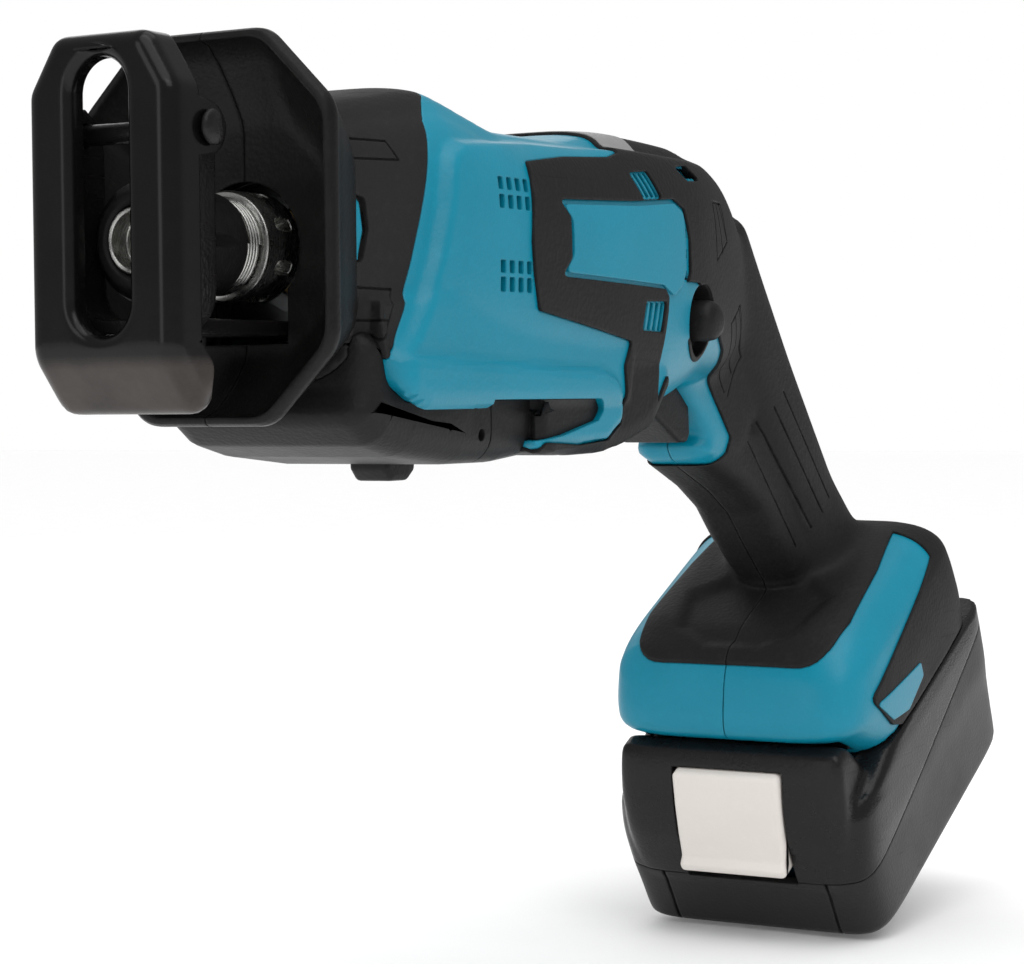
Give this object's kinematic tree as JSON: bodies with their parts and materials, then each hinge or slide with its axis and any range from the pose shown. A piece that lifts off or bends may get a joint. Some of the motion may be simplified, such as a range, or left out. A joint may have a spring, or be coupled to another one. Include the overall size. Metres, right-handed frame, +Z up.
{
  "type": "reciprocating saw",
  "caption": "Cordless one-hand reciprocating saw with slotted steel shoe, quick blade clamp, flared front guard, rear pistol grip and slide-on battery.",
  "frame": {"origin": "middle of the bottom of the whole tool's box, with the stroke axis level", "axes": "+X forward along the stroke towards the blade, +Y the tool's left, +Z up"},
  "size_m": [0.3716, 0.0772, 0.2166],
  "materials": {
    "teal_plastic": "satin moulded, fine texture",
    "black_plastic": "fine moulded texture",
    "gloss_black_plastic": "semi-gloss",
    "rubber": "matte overmould",
    "boot_rubber": "matte boot",
    "painted_steel": "gloss black paint over pressed steel",
    "steel": "machined",
    "dark_steel": "phosphated",
    "cast_aluminium": "die cast",
    "brass": "machined",
    "copper": "enamelled winding",
    "magnet": "sintered",
    "cream_plastic": "satin",
    "cell_sleeve": "wrapped cell"
  },
  "bodies": {
    "body": {"housing_left": "teal_plastic", "housing_right": "teal_plastic", "grip_left": "rubber", "grip_right": "rubber", "bottom_cover": "black_plastic", "front_boot": "boot_rubber", "guard_left": "black_plastic", "guard_right": "black_plastic", "gear_housing": "cast_aluminium", "plunger_bush": "brass", "crank_bearing": "steel", "motor_can": "dark_steel", "magnet_upper": "magnet", "magnet_lower": "magnet", "front_bearing": "steel", "rear_bearing": "steel", "brush_holder_left": "brass", "brush_holder_right": "brass", "carbon_brush_left": "magnet", "carbon_brush_right": "magnet", "motor_end_bell": "black_plastic", "switch_body": "black_plastic", "housing_screw_1": "steel", "housing_screw_2": "steel", "housing_screw_3": "steel", "housing_screw_4": "steel", "housing_screw_5": "steel", "housing_screw_6": "steel", "badge_left": "teal_plastic", "badge_right": "teal_plastic", "terminal_block": "black_plastic"},
    "shoe_carrier": {"shoe_carrier": "dark_steel", "shoe_pivot_pin": "dark_steel"},
    "shoe": {"shoe": "painted_steel"},
    "shoe_release": {"shoe_release_button": "black_plastic"},
    "plunger": {"plunger": "steel", "blade_holder": "steel", "clamp_spring": "steel", "clamp_pin": "steel"},
    "sleeve": {"clamp_sleeve": "black_plastic"},
    "crank": {"crank_gear": "dark_steel", "crank_pin": "steel"},
    "armature": {"armature_shaft": "steel", "armature_core": "dark_steel", "armature_windings": "copper", "commutator": "copper", "motor_fan": "black_plastic"},
    "trigger": {"trigger": "black_plastic"},
    "lock_off": {"lock_off_button": "black_plastic"},
    "battery": {"battery_upper_case": "gloss_black_plastic", "battery_lower_case": "black_plastic", "battery_cells": "cell_sleeve", "battery_board": "black_plastic"},
    "battery_release": {"battery_release_button": "cream_plastic"}
  },
  "joints": [
    {"name": "shoe_slide", "type": "slide", "parent": "body", "child": "shoe_carrier", "axis": [1, 0, 0], "range_m": [0, 0.015]},
    {"name": "shoe_tilt", "type": "hinge", "parent": "shoe_carrier", "child": "shoe", "pos_m": [0.17427, 0, 0.19564], "axis": [0, 1, 0], "range_deg": [-7, 7]},
    {"name": "shoe_release_press", "type": "slide", "parent": "body", "child": "shoe_release", "axis": [0, 0, 1], "range_m": [0, 0.003], "stiffness_N_per_m": 800, "springref_m": -0.002},
    {"name": "plunger_stroke", "type": "slide", "parent": "body", "child": "plunger", "axis": [1, 0, 0], "range_m": [-0.013, 0]},
    {"name": "clamp_turn", "type": "hinge", "parent": "plunger", "child": "sleeve", "pos_m": [0.16576, 0, 0.17564], "axis": [1, 0, 0], "range_deg": [0, 60], "stiffness_Nm_per_rad": 0.2, "springref_deg": -11.46},
    {"name": "armature_spin", "type": "hinge", "parent": "body", "child": "armature", "pos_m": [0.03576, 0, 0.17914], "axis": [1, 0, 0], "continuous": true},
    {"name": "crank_spin", "type": "hinge", "parent": "body", "child": "crank", "pos_m": [0.08576, 0, 0.18564], "axis": [0, 0, 1], "continuous": true},
    {"name": "trigger_pull", "type": "slide", "parent": "body", "child": "trigger", "axis": [-0.7627, 0, 0.6468], "range_m": [0, 0.006], "stiffness_N_per_m": 1000, "springref_m": -0.002},
    {"name": "lock_off_slide", "type": "slide", "parent": "body", "child": "lock_off", "axis": [0, 1, 0], "range_m": [-0.004, 0]},
    {"name": "battery_slide", "type": "slide", "parent": "body", "child": "battery", "axis": [0.891, 0, -0.454], "range_m": [0, 0.115]},
    {"name": "battery_release_press", "type": "slide", "parent": "battery", "child": "battery_release", "axis": [-0.454, 0, -0.891], "range_m": [0, 0.004], "stiffness_N_per_m": 1200, "springref_m": -0.002}
  ],
  "couplings": [
    {"joint": "crank_spin", "follows": "armature_spin", "ratio": 0.28125}
  ]
}
